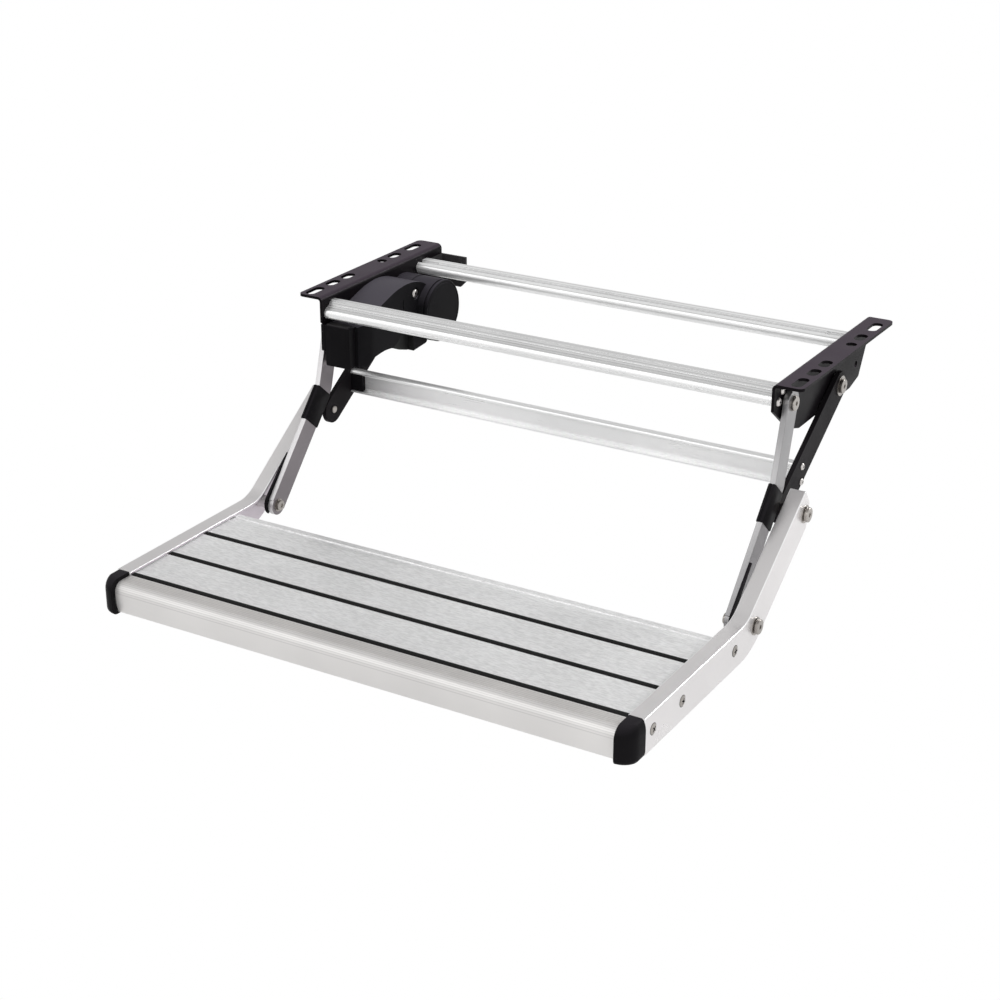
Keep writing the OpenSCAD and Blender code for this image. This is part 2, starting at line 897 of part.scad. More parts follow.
module foot_pivot_spacers() {
    color("silver") both_sides()
        ring(front_arm_out + 0.4, arm_in, p_foot, 14, pivot_d + 2 * screw_gap);
}

module foot_pivot_washers() {
    color("silver") both_sides()
        ring(arm_out, arm_out + washer_t, p_foot, washer_d, pivot_d + 2 * screw_gap);
}

left_bracket();
right_bracket();
front_crossbar();
rear_crossbar();
crossbar_screws();
front_pivot_bolts();
front_pivot_washers();
rear_pivot_bolt();
rear_pivot_washer();
gear_housing();
connector_box();
gear_cover();
housing_screws();
rear_support();
left_rear_arm();
right_rear_arm();
lower_crossbar();
lower_crossbar_screws();
drive_shaft();
left_front_arm();
left_sleeve();
left_foot_bush();
right_front_arm();
right_sleeve();
right_foot_bush();
left_side_arm();
right_side_arm();
nose_profile();
front_plank();
middle_plank();
rear_plank();
front_strip();
middle_strip();
rear_strip();
left_end_cap();
right_end_cap();
side_screws();
link_pivot_bolts();
link_pivot_spacers();
link_pivot_washers();
foot_pivot_bolts();
foot_pivot_spacers();
foot_pivot_washers();
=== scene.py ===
"""Looks of the folding caravan entry step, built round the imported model.

All places are in the row frame, in metres: +X to the right, +Y in under the floor, +Z up. The shapes of
pieces are written in millimetres, and MM turns them into metres.
"""
import json
import math

import bmesh
import bpy
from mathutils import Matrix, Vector


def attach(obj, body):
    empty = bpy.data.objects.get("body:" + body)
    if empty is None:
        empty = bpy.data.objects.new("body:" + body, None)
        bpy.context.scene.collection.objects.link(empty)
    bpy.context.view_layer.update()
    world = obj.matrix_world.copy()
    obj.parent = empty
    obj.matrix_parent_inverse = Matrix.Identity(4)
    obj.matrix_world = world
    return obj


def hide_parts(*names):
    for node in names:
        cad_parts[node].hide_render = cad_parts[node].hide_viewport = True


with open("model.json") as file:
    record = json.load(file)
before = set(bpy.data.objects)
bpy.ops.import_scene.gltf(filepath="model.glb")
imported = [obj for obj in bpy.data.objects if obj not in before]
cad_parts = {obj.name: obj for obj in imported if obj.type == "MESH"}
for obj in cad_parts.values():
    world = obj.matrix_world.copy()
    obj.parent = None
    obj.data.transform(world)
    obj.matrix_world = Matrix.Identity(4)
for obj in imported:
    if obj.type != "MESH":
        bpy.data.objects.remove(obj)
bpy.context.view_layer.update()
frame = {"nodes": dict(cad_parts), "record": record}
nodes = frame["nodes"]
MM = 0.001
SIDES = (("left", -1.0), ("right", 1.0))


# Node helpers

# Colour sockets of a Mix node, which share their names with other sockets
MIX_A, MIX_B, MIX_RESULT = 6, 7, 2


def node(tree, kind, **settings):
    """A node of that kind with its properties set."""
    made = tree.nodes.new(kind)
    for key, value in settings.items():
        setattr(made, key, value)
    return made


def feed(tree, value, socket):
    """Links an output to the socket, or sets a plain value on it."""
    if isinstance(value, bpy.types.NodeSocket):
        tree.links.new(value, socket)
    else:
        socket.default_value = value


def maths(tree, operation, *values):
    """The output of a Math node on outputs or plain numbers."""
    made = node(tree, "ShaderNodeMath", operation=operation)
    for value, socket in zip(values, made.inputs):
        feed(tree, value, socket)
    return made.outputs["Value"]


def map_range(tree, value, low, high, to_low=0.0, to_high=1.0):
    """The output of a Map Range node, from low and high to the other two."""
    made = node(tree, "ShaderNodeMapRange")
    limits = {"Value": value, "From Min": low, "From Max": high, "To Min": to_low, "To Max": to_high}
    for name, limit in limits.items():
        feed(tree, limit, made.inputs[name])
    return made.outputs["Result"]


def noise(tree, vector, scale, detail):
    """The output of a noise texture at the vector."""
    made = node(tree, "ShaderNodeTexNoise")
    for name, value in (("Vector", vector), ("Scale", scale), ("Detail", detail)):
        feed(tree, value, made.inputs[name])
    return made.outputs["Fac"]


def stretch_x(tree, vector, share):
    """The vector with its X shrunk, so that a pattern on it is drawn out along X."""
    made = node(tree, "ShaderNodeMapping")
    made.inputs["Scale"].default_value = (share, 1.0, 1.0)
    tree.links.new(vector, made.inputs["Vector"])
    return made.outputs["Vector"]


def split_xyz(tree, vector):
    """The outputs X, Y and Z of a vector."""
    made = node(tree, "ShaderNodeSeparateXYZ")
    tree.links.new(vector, made.inputs["Vector"])
    return made.outputs


def object_coords(tree):
    return node(tree, "ShaderNodeTexCoord").outputs["Object"]


def surface_normal(tree):
    return node(tree, "ShaderNodeNewGeometry").outputs["Normal"]


def set_ramp(made, stops):
    """Stops of a colour ramp, as (position, colour)."""
    ramp = made.color_ramp
    while len(ramp.elements) < len(stops):
        ramp.elements.new(1.0)
    for element, (position, tone) in zip(ramp.elements, stops):
        element.position = position
        element.color = (*tone, 1.0)


def new_tree(name, kind, inputs, outputs):
    """A node tree with its sockets, each as (name, type), and its input and output nodes."""
    tree = bpy.data.node_groups.new(name, kind)
    for in_out, sockets in (("INPUT", inputs), ("OUTPUT", outputs)):
        for label, socket in sockets:
            tree.interface.new_socket(label, in_out=in_out, socket_type="NodeSocket" + socket)
    return tree, node(tree, "NodeGroupInput"), node(tree, "NodeGroupOutput")


def set_input(modifier, name, value):
    """Sets a node modifier's input by its socket's identifier."""
    for item in modifier.node_group.interface.items_tree:
        if item.item_type == "SOCKET" and item.in_out == "INPUT" and item.name == name:
            modifier[item.identifier] = value


# Materials

# Both detail groups take a scale and a roughness range, and give a height and a roughness
DETAIL_INPUTS = (("Scale", "Float"), ("Low", "Float"), ("High", "Float"))
DETAIL_OUTPUTS = (("Height", "Float"), ("Roughness", "Float"))


def fine_lines_group():
    """Extrusion lines along X with slight unevenness."""
    tree, inside, outside = new_tree("fine_lines", "ShaderNodeTree", DETAIL_INPUTS, DETAIL_OUTPUTS)
    coords = object_coords(tree)
    lines = noise(tree, stretch_x(tree, coords, 0.012), inside.outputs["Scale"], 3.0)
    cloud = noise(tree, coords, 14.0, 4.0)
    rough = map_range(tree, maths(tree, "ADD", lines, cloud), 0.7, 1.3,
                      inside.outputs["Low"], inside.outputs["High"])
    tree.links.new(lines, outside.inputs["Height"])
    tree.links.new(rough, outside.inputs["Roughness"])
    return tree


def grain_group():
    """Moulded or sprayed grain."""
    tree, inside, outside = new_tree("grain", "ShaderNodeTree", DETAIL_INPUTS, DETAIL_OUTPUTS)
    coords = object_coords(tree)
    grains = noise(tree, coords, inside.outputs["Scale"], 2.0)
    cloud = noise(tree, coords, 22.0, 5.0)
    rough = map_range(tree, cloud, 0.3, 0.7, inside.outputs["Low"], inside.outputs["High"])
    tree.links.new(grains, outside.inputs["Height"])
    tree.links.new(rough, outside.inputs["Roughness"])
    return tree


FINE_LINES = fine_lines_group()
GRAIN = grain_group()


def new_material(name):
    """A node material, its tree and its Principled shader."""
    mat = bpy.data.materials.new(name)
    mat.use_nodes = True
    return mat, mat.node_tree, mat.node_tree.nodes["Principled BSDF"]


def finish(name, group, shades, metallic, rough, scale, bump, specular=0.5):
    """A finish with clouds of two shades, grouped detail, a roughness range and a bump (strength, depth)."""
    mat, tree, shader = new_material(name)
    detail = node(tree, "ShaderNodeGroup", node_tree=group)
    for label, value in (("Scale", scale), ("Low", rough[0]), ("High", rough[1])):
        detail.inputs[label].default_value = value
    ramp = node(tree, "ShaderNodeValToRGB")
    set_ramp(ramp, [(0.35, shades[0]), (0.65, shades[1])])
    relief = node(tree, "ShaderNodeBump")
    relief.inputs["Strength"].default_value = bump[0]
    relief.inputs["Distance"].default_value = bump[1]
    link = tree.links.new
    link(noise(tree, object_coords(tree), 9.0, 3.0), ramp.inputs["Fac"])
    link(ramp.outputs["Color"], shader.inputs["Base Color"])
    link(detail.outputs["Roughness"], shader.inputs["Roughness"])
    link(detail.outputs["Height"], relief.inputs["Height"])
    link(relief.outputs["Normal"], shader.inputs["Normal"])
    shader.inputs["Metallic"].default_value = metallic
    shader.inputs["Specular IOR Level"].default_value = specular
    return mat


def grey(value):
    return (value, value, value)


def tones(low, high, tint=(1.0, 1.0, 1.0)):
    """A darker and a lighter colour of one tint."""
    return [tuple(channel * value for channel in tint) for value in (low, high)]


def mix_into_base(mat, factor, tone, blend_type):
    """Mixes a tone into the material's base colour. Factor and tone are outputs or plain values."""
    tree = mat.node_tree
    base = tree.nodes["Principled BSDF"].inputs["Base Color"]
    mix = node(tree, "ShaderNodeMix", data_type="RGBA", blend_type=blend_type)
    feed(tree, factor, mix.inputs["Factor"])
    feed(tree, base.links[0].from_socket, mix.inputs[MIX_A])
    feed(tree, tone, mix.inputs[MIX_B])
    tree.links.new(mix.outputs[MIX_RESULT], base)


def add_streaks(mat, dark, light):
    """Dark and light streaks along X, as in the fine ribs of the planks."""
    tree = mat.node_tree
    streaks = noise(tree, stretch_x(tree, object_coords(tree), 0.13), 1150.0, 1.5)
    mix_into_base(mat, 1.0, map_range(tree, streaks, 0.36, 0.64, dark, light), "MULTIPLY")


def paint_groove_shade(mat, pitch, lowest, dark):
    """Painted shade: darker lines along X in the grooves between the ribs, above the lowest height."""
    tree = mat.node_tree
    place_xyz = split_xyz(tree, object_coords(tree))
    across = maths(tree, "ADD", place_xyz["Y"], place_xyz["Z"])
    wave = maths(tree, "SINE", maths(tree, "MULTIPLY", across, 2.0 * math.pi / pitch))
    above = maths(tree, "GREATER_THAN", place_xyz["Z"], lowest)
    mask = maths(tree, "MULTIPLY", map_range(tree, wave, 0.2, 0.9), above)
    mix_into_base(mat, mask, (*grey(dark), 1.0), "MULTIPLY")


def paint_inner_shade(mat, tone):
    """Painted shade: darkens the faces that look toward the middle of the step, where the inside lies in
    shadow.
    """
    tree = mat.node_tree
    side = maths(tree, "SIGN", split_xyz(tree, object_coords(tree))["X"])
    outward = maths(tree, "MULTIPLY", split_xyz(tree, surface_normal(tree))["X"], side)
    mix_into_base(mat, map_range(tree, outward, -0.5, -0.95), (*tone, 1.0), "MULTIPLY")


def paint_top_highlight(mat, tone):
    """Painted highlight: mixes in a lighter tone on faces that look up, as if lit from above."""
    tree = mat.node_tree
    upward = split_xyz(tree, surface_normal(tree))["Z"]
    mix_into_base(mat, map_range(tree, upward, 0.35, 0.95), (*tone, 1.0), "MIX")


def paint_crease_highlight(mat):
    """Painted highlight on the rounded edge between a side arm's web and its flanges."""
    tree = mat.node_tree
    sideways = maths(tree, "ABSOLUTE", split_xyz(tree, surface_normal(tree))["X"])
    between = maths(tree, "MULTIPLY", sideways, maths(tree, "SUBTRACT", 1.0, sideways))
    mix_into_base(mat, map_range(tree, between, 0.06, 0.18), (*grey(1.0), 1.0), "MIX")


anodised = finish(
    "anodised", FINE_LINES, tones(0.82, 0.88, (1.0, 0.985, 0.975)),
    metallic=0.75, rough=(0.26, 0.36), scale=900.0, bump=(0.08, 0.0004))
nose_metal = finish(
    "nose_metal", FINE_LINES, tones(0.75, 0.81, (1.0, 0.98, 0.965)),
    metallic=0.6, rough=(0.40, 0.50), scale=900.0, bump=(0.08, 0.0004))
paint_groove_shade(nose_metal, pitch=0.0028, lowest=-0.213, dark=0.84)
ribbed = finish(
    "ribbed_planks", FINE_LINES, tones(0.89, 0.95),
    metallic=0.55, rough=(0.30, 0.42), scale=900.0, bump=(0.10, 0.0004))
add_streaks(ribbed, dark=0.88, light=1.06)
# Side arm metal with painted shade on its inner faces and a painted highlight along its crease
side_arm_silver = finish(
    "side_arm_silver", GRAIN, tones(0.77, 0.83, (1.0, 0.975, 0.975)),
    metallic=0.7, rough=(0.26, 0.36), scale=1500.0, bump=(0.05, 0.0003))
paint_inner_shade(side_arm_silver, (0.74, 0.69, 0.75))
paint_crease_highlight(side_arm_silver)
bright_bar = finish(
    "bright_bar", FINE_LINES, tones(0.90, 0.96),
    metallic=0.75, rough=(0.22, 0.30), scale=900.0, bump=(0.05, 0.0003))
paint_groove_shade(bright_bar, pitch=0.0042, lowest=-0.016, dark=0.76)
channel_metal = finish(
    "channel_metal", FINE_LINES, tones(0.88, 0.95),
    metallic=0.65, rough=(0.26, 0.36), scale=900.0, bump=(0.08, 0.0004))
rear_bar_metal = finish(
    "rear_bar_metal", FINE_LINES, tones(0.90, 0.96),
    metallic=0.45, rough=(0.26, 0.34), scale=900.0, bump=(0.08, 0.0004))
paint_groove_shade(rear_bar_metal, pitch=0.0066, lowest=-1.0, dark=0.70)
silver_arms = finish(
    "silver_arms", GRAIN, tones(0.29, 0.36, (1.0, 0.985, 1.0)),
    metallic=0.8, rough=(0.30, 0.40), scale=1500.0, bump=(0.06, 0.0004))
# The left front arm's own copy of the arm metal, with its tones set for how light falls on that arm and
# painted shade on its inner faces
left_arm_light_and_shade = finish(
    "left_arm_light_and_shade", GRAIN, tones(0.60, 0.68, (1.0, 0.98, 0.99)),
    metallic=0.8, rough=(0.34, 0.46), scale=1500.0, bump=(0.06, 0.0004))
paint_inner_shade(left_arm_light_and_shade, (0.35, 0.325, 0.34))
# The brackets' black paint: its darker base is painted shade, set darker than the rear arms' copy where the
# brackets lie in shade
black_paint = finish(
    "black_paint", GRAIN, tones(0.004, 0.006, (1.0, 0.78, 1.0)),
    metallic=0.0, rough=(0.30, 0.42), scale=900.0, bump=(0.12, 0.0005), specular=0.05)
paint_top_highlight(black_paint, (0.052, 0.040, 0.053))
# The rear arms' copy of the black paint, lighter than the brackets' as painted light where the arms catch
# more light
rear_arm_lit_paint = finish(
    "rear_arm_lit_paint", GRAIN, tones(0.009, 0.014, (1.0, 0.88, 1.0)),
    metallic=0.0, rough=(0.34, 0.46), scale=900.0, bump=(0.12, 0.0005), specular=0.03)
tab_grey = finish(
    "tab_grey", GRAIN, tones(0.030, 0.038, (1.0, 0.95, 1.0)),
    metallic=0.0, rough=(0.40, 0.50), scale=900.0, bump=(0.12, 0.0005), specular=0.06)
black_plastic = finish(
    "black_plastic", GRAIN, tones(0.006, 0.009, (0.95, 0.88, 1.0)),
    metallic=0.0, rough=(0.34, 0.48), scale=2600.0, bump=(0.14, 0.0003), specular=0.03)
paint_top_highlight(black_plastic, (0.020, 0.018, 0.021))
# The drum and the housing get their own copies of the black plastic, with stronger painted highlights on
# their tops
drum_plastic = finish(
    "drum_plastic", GRAIN, tones(0.007, 0.010, (0.92, 0.88, 1.0)),
    metallic=0.0, rough=(0.34, 0.48), scale=2600.0, bump=(0.14, 0.0003), specular=0.03)
paint_top_highlight(drum_plastic, (0.046, 0.042, 0.051))
housing_plastic = finish(
    "housing_plastic", GRAIN, tones(0.008, 0.012, (0.92, 0.88, 1.0)),
    metallic=0.0, rough=(0.34, 0.48), scale=2600.0, bump=(0.14, 0.0003), specular=0.02)
paint_top_highlight(housing_plastic, (0.078, 0.072, 0.086))
grip_rubber = finish(
    "grip_rubber", GRAIN, tones(0.008, 0.012),
    metallic=0.0, rough=(0.60, 0.75), scale=1800.0, bump=(0.15, 0.0003), specular=0.12)
steel = finish(
    "steel", GRAIN, tones(0.36, 0.46, (1.0, 0.94, 0.88)),
    metallic=1.0, rough=(0.26, 0.38), scale=1200.0, bump=(0.05, 0.0002))
zinc = finish(
    "zinc", GRAIN, tones(0.60, 0.70, (1.0, 0.96, 0.93)),
    metallic=1.0, rough=(0.26, 0.38), scale=1200.0, bump=(0.05, 0.0002))
# Painted shade for the insides of recesses and for the rings round the countersunk heads
recess_painted_shade = finish(
    "recess_painted_shade", GRAIN, tones(0.010, 0.020),
    metallic=0.4, rough=(0.50, 0.65), scale=1200.0, bump=(0.05, 0.0002), specular=0.2)

BY_SLOT = {
    "anodised": anodised,
    "silver_arms": silver_arms,
    "black_paint": black_paint,
    "black_plastic": black_plastic,
    "grip_rubber": grip_rubber,
    "steel_hardware": steel,
}


def paint(obj, mat, recess=None):
    """One material for the whole object, and a second one, painted shade, on the recess faces where given.
    """
    mesh = obj.data
    old = list(mesh.materials)
    dark = []
    for poly in mesh.polygons:
        index = poly.material_index
        if recess and (old[index] == recess if index < len(old) else index == 1):
            dark.append(poly.index)
    mesh.materials.clear()
    mesh.materials.append(mat)
    if recess:
        mesh.materials.append(recess)
        for index in dark:
            mesh.polygons[index].material_index = 1


# Nodes whose finish in the photograph differs from that of their slot
# Some of these carry painted light and shade: the left front arm, the rear arms, the side arms and their
# spacers
OWN_FINISH_AND_LIGHT = {
    "front_crossbar": bright_bar,
    "lower_crossbar": channel_metal,
    "rear_crossbar": rear_bar_metal,
    "rear_support": tab_grey,
    "left_rear_arm": rear_arm_lit_paint,
    "right_rear_arm": rear_arm_lit_paint,
    "left_front_arm": left_arm_light_and_shade,
    "left_side_arm": side_arm_silver,
    "right_side_arm": side_arm_silver,
    "foot_pivot_spacers": side_arm_silver,
    "front_plank": ribbed,
    "middle_plank": ribbed,
    "rear_plank": ribbed,
    "nose_profile": nose_metal,
}

for part in frame["record"]["subparts"]:
    paint(nodes[part["node"]], OWN_FINISH_AND_LIGHT.get(part["node"], BY_SLOT[part["material_slot"]]))


# Edges: every sheet, bar and casting has a small radius that catches the light

def smooth(mesh, angle=32.0):
    """Smooth shading with sharp edges kept past the given angle."""
    for poly in mesh.polygons:
        poly.use_smooth = True
    mesh.set_sharp_from_angle(angle=math.radians(angle))


def long_edges_tree():
    """Marks the edges to bevel: sharper than Angle and longer than Shortest, so that hole rims stay."""
    tree, inside, outside = new_tree(
        "long_edges", "GeometryNodeTree",
        (("Geometry", "Geometry"), ("Shortest", "Float"), ("Angle", "Float")), (("Geometry", "Geometry"),))
    ends = node(tree, "GeometryNodeInputMeshEdgeVertices")
    length = node(tree, "ShaderNodeVectorMath", operation="DISTANCE")
    turn = node(tree, "GeometryNodeInputMeshEdgeAngle")
    store = node(tree, "GeometryNodeStoreNamedAttribute", data_type="FLOAT", domain="EDGE")
    store.inputs["Name"].default_value = "bevel_weight_edge"
    is_long = maths(tree, "GREATER_THAN", length.outputs["Value"], inside.outputs["Shortest"])
    is_sharp = maths(tree, "GREATER_THAN", turn.outputs["Unsigned Angle"], inside.outputs["Angle"])
    link = tree.links.new
    link(ends.outputs["Position 1"], length.inputs[0])
    link(ends.outputs["Position 2"], length.inputs[1])
    link(inside.outputs["Geometry"], store.inputs["Geometry"])
    link(maths(tree, "MULTIPLY", is_long, is_sharp), store.inputs["Value"])
    link(store.outputs["Geometry"], outside.inputs["Geometry"])
    return tree


LONG_EDGES = long_edges_tree()


def soften(name, width, segments=2, shortest=None):
    """Bevels a CAD node's sharp edges, or only those longer than shortest, and keeps its flats flat."""
    sharp = math.radians(35.0)
    obj = nodes[name]
    weld = obj.modifiers.new("weld", "WELD")
    weld.merge_threshold = 0.01 * MM
    flat = obj.modifiers.new("flat_faces", "DECIMATE")
    flat.decimate_type = "DISSOLVE"
    flat.angle_limit = math.radians(0.5)
    if shortest is not None:
        marks = obj.modifiers.new("long_edges", "NODES")
        marks.node_group = LONG_EDGES
        set_input(marks, "Shortest", shortest * MM)
        set_input(marks, "Angle", sharp)
    bevel = obj.modifiers.new("edge", "BEVEL")
    bevel.width = width * MM
    bevel.segments = segments
    bevel.limit_method = "ANGLE" if shortest is None else "WEIGHT"
    bevel.angle_limit = sharp
    for poly in obj.data.polygons:
        poly.use_smooth = True
    obj.modifiers.new("flats", "WEIGHTED_NORMAL")


for name, width in (
        ("left_bracket", 0.5), ("right_bracket", 0.5),
        ("left_rear_arm", 0.6), ("right_rear_arm", 0.6),
        ("left_front_arm", 1.3), ("right_front_arm", 1.3),
        ("front_crossbar", 0.5), ("rear_crossbar", 0.4), ("lower_crossbar", 0.4)):
    soften(name, width)
for name in ("left_side_arm", "right_side_arm"):
    soften(name, 1.3, segments=3, shortest=1.5)
for name in ("nose_profile", "front_strip", "middle_strip", "rear_strip"):
    smooth(nodes[name].data)


# Mesh helpers

def add_object(name, mesh):
    """A scene object of the mesh, at the origin."""
    obj = bpy.data.objects.new(name, mesh)
    bpy.context.scene.collection.objects.link(obj)
    return obj


def place(obj, body, mat, recess=None):
    """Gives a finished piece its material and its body."""
    paint(obj, mat, recess)
    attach(obj, body)


def settle(obj):
    """Turns an object with modifiers into a plain mesh object of the same name."""
    graph = bpy.context.evaluated_depsgraph_get()
    mesh = bpy.data.meshes.new_from_object(obj.evaluated_get(graph))
    obj.modifiers.clear()
    obj.data = mesh


def lobed(radius, angle, lobe):
    """Radius of a ring at an angle: round, a cross recess or a six-lobe recess."""
    if lobe == "cross":
        return radius * (0.34 + 0.66 * abs(math.cos(2.0 * angle)) ** 3)
    if lobe == "star":
        return radius * (0.86 + 0.14 * math.cos(6.0 * angle))
    return radius


def lathe_into(bm, rings, centre, facing=1.0, steps=48):
    """Turns rings of (x, radius, lobe) about an X axis through centre, in millimetres, closed at both ends.

    The faces inside a recess, and those that end at a ring marked rim, get the second material, the painted
    shade where the piece has one.
    """
    loops = []
    for x, radius, lobe in rings:
        loop = []
        for i in range(steps):
            angle = 2.0 * math.pi * i / steps
            r = lobed(radius, angle, lobe)
            loop.append(bm.verts.new((
                (centre[0] + facing * x) * MM,
                (centre[1] + r * math.cos(angle)) * MM,
                (centre[2] + r * math.sin(angle)) * MM)))
        loops.append(loop)
    recess = rings[-1][2] is not None
    for low, high, ring in zip(loops, loops[1:], rings[1:]):
        for i in range(steps):
            j = (i + 1) % steps
            quad = (low[i], low[j], high[j], high[i])
            face = bm.faces.new(quad if facing > 0 else quad[::-1])
            face.material_index = int(ring[2] == "rim" or (recess and high is loops[-1]))
    ends = (loops[0][::-1], loops[-1]) if facing > 0 else (loops[0], loops[-1][::-1])
    bm.faces.new(ends[0])
    bm.faces.new(ends[1]).material_index = int(recess)


def finish_mesh(bm, name, angle=32.0):
    """The finished mesh, with its faces outward and edges sharp past the angle."""
    bmesh.ops.recalc_face_normals(bm, faces=bm.faces)
    mesh = bpy.data.meshes.new(name)
    bm.to_mesh(mesh)
    bm.free()
    smooth(mesh, angle)
    return mesh


def skin(bm, loops, name, angle):
    """The finished mesh of a closed skin over loops that have the same number of points."""
    count = len(loops[0])
    for low, high in zip(loops, loops[1:]):
        for i in range(count):
            j = (i + 1) % count
            bm.faces.new((low[i], low[j], high[j], high[i]))
    bm.faces.new(loops[0][::-1])
    bm.faces.new(loops[-1])
    return finish_mesh(bm, name, angle)


def prism(name, outline, x0, x1):
    """An outline of (y, z) in millimetres, extruded along X from x0 to x1."""
    bm = bmesh.new()
    low = [bm.verts.new((x0 * MM, y * MM, z * MM)) for y, z in outline]
    high = [bm.verts.new((x1 * MM, y * MM, z * MM)) for y, z in outline]
    bm.faces.new(low[::-1])
    bm.faces.new(high)
    count = len(outline)
    for i in range(count):
        j = (i + 1) % count
        bm.faces.new((low[i], low[j], high[j], high[i]))
    return add_object(name, finish_mesh(bm, name))


def column(name, outline, z0, z1):
    """An outline of (x, y) in millimetres, extruded along Z from z0 to z1."""
    bm = bmesh.new()
    low = [bm.verts.new((x * MM, y * MM, z0 * MM)) for x, y in outline]
    high = [bm.verts.new((x * MM, y * MM, z1 * MM)) for x, y in outline]
    bm.faces.new(low)
    bm.faces.new(high[::-1])
    count = len(outline)
    for i in range(count):
        j = (i + 1) % count
        bm.faces.new((low[i], high[i], high[j], low[j]))
    return add_object(name, finish_mesh(bm, name))


def round_edges(obj, width, segments=3, angle=40.0):
    """Bevels the edges sharper than the angle, and keeps the flats flat."""
    bevel = obj.modifiers.new("edge", "BEVEL")
    bevel.width = width * MM
    bevel.segments = segments
    bevel.limit_method = "ANGLE"
    bevel.angle_limit = math.radians(angle)
    obj.modifiers.new("flats", "WEIGHTED_NORMAL")


def cut_from(obj, tool):
    """Takes the tool's shape out of obj and removes the tool."""
    cut = obj.modifiers.new("cut", "BOOLEAN")
    cut.operation = "DIFFERENCE"
    cut.solver = "EXACT"
    cut.material_mode = "TRANSFER"
    cut.object = tool
    settle(obj)
    bpy.data.objects.remove(tool)
    smooth(obj.data)


def spline(points, steps=5):
    """Points of a smooth open curve through the given ones."""
    ends = [points[0]] + points + [points[-1]]
    out = []
    for p0, p1, p2, p3 in zip(ends, ends[1:], ends[2:], ends[3:]):
        for i in range(steps):
            t = i / steps
            out.append(tuple(
                0.5 * (2 * b + (c - a) * t + (2 * a - 5 * b + 4 * c - d) * t * t
                       + (3 * b - a - 3 * c + d) * t ** 3)
                for a, b, c, d in zip(p0, p1, p2, p3)))
    out.append(points[-1])
    return out


# In millimetres, as in the part's source: x of faces from the middle, and the pivots as (y, z)
BRACKET_FACE, BRACKET_INSIDE = 262.5, 259.5
FRONT_ARM_FACE, FRONT_ARM_INSIDE = 270.1, 264.1
REAR_ARM_FACE = 269.1
SIDE_ARM_FACE = 292.0
HOUSING_BACK, HOUSING_FRONT = -259.4, -218.4
WASHER = 1.0
P_FRONT = (-116.5, -26.5)
P_REAR = (8.5, -48.5)
P_LINK = (-124.5, -134.5)
P_FOOT = (-231.5, -209.0)
ELBOW = (78.0, 23.0)  # of a front arm: along the line between its pivots, and across it


# Bolts and nuts of the pivots

def pivot_bolts(name, node_name, body, places, high, nut=False):
    """Bolts with a low head and a six-lobe recess, at places of (x of the seat, y, z, facing, shank)."""
    bm = bmesh.new()
    neck = high * 0.26
    for x, y, z, facing, shank in places:
        rings = [(-shank, 3.2, None), (-shank + 0.8, 4.0, None), (0.0, 4.0, None), (0.0, 5.2, None),
                 (neck, 5.2, None), (neck, 7.1, None), (neck + 0.3, 7.4, None), (high - 0.5, 7.4, None),
                 (high - 0.1, 7.1, None), (high, 6.5, None), (high, 2.7, "star"), (high - 1.0, 2.5, "star")]
        if nut:
            rings = [(-shank, 4.0, None), (-shank, 5.9, None), (-shank + 0.5, 6.5, None),
                     (-shank + 2.8, 6.5, None), (-shank + 3.0, 4.0, None)] + rings[2:]
        lathe_into(bm, rings, (x, y, z), facing)
    obj = add_object(name, finish_mesh(bm, name))
    place(obj, body, steel)
    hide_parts(node_name)


def add_pivot_bolts():
    """Bolts on both sides of the front, link and foot pivots, and one with a nut on the rear pivot."""
    def pair(name, body, pivot, face, high, inner_end):
        seat = face + WASHER
        pivot_bolts(name + "_pivot_heads", name + "_pivot_bolts", body,
                    [(sign * seat, *pivot, sign, seat - inner_end) for sign in (1.0, -1.0)], high)

    pair("front", "brackets", P_FRONT, FRONT_ARM_FACE, 2.2, BRACKET_INSIDE - 2.9)
    seat = REAR_ARM_FACE + WASHER
    pivot_bolts("rear_pivot_head", "rear_pivot_bolt", "brackets",
                [(seat, *P_REAR, 1.0, seat - BRACKET_INSIDE + 5.0)], 3.2, nut=True)
    pair("link", "tread", P_LINK, SIDE_ARM_FACE, 4.2, FRONT_ARM_INSIDE - 1.8)
    pair("foot", "tread", P_FOOT, SIDE_ARM_FACE, 4.2, FRONT_ARM_FACE + 0.4)


def add_foot_nuts():
    """Nuts on the inner side of the front arms, at the lower pivots."""
    rings = [(-5.0, 4.0, None), (0.0, 4.0, None), (0.0, 7.0, None), (0.7, 7.0, None), (0.7, 4.9, None),
             (1.2, 4.9, None), (1.2, 5.5, None), (3.4, 5.6, None), (3.9, 5.2, None), (4.0, 4.6, None),
             (4.0, 2.5, "star"), (3.0, 2.3, "star")]
    for side, sign in SIDES:
        bm = bmesh.new()
        lathe_into(bm, rings, (sign * FRONT_ARM_INSIDE, *P_FOOT), -sign)
        name = side + "_foot_nut"
        nut = add_object(name, finish_mesh(bm, name))
        place(nut, side + "_front_arm", steel)
        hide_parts(side + "_foot_bush")


# Screws are one head, repeated over the screw places by a node tree

def pan_head(name, radius, rise):
    """A domed head that stands on the surface."""
    return screw_head(name, [
        (-8.0, 1.7, None), (0.0, 1.9, None), (0.0, radius - 0.1, None), (0.3, radius, None),
        (rise * 0.55, radius * 0.93, None), (rise * 0.85, radius * 0.78, None), (rise, radius * 0.60, None),
        (rise, radius * 0.52, "cross"), (rise - 1.5, radius * 0.34, "cross")])


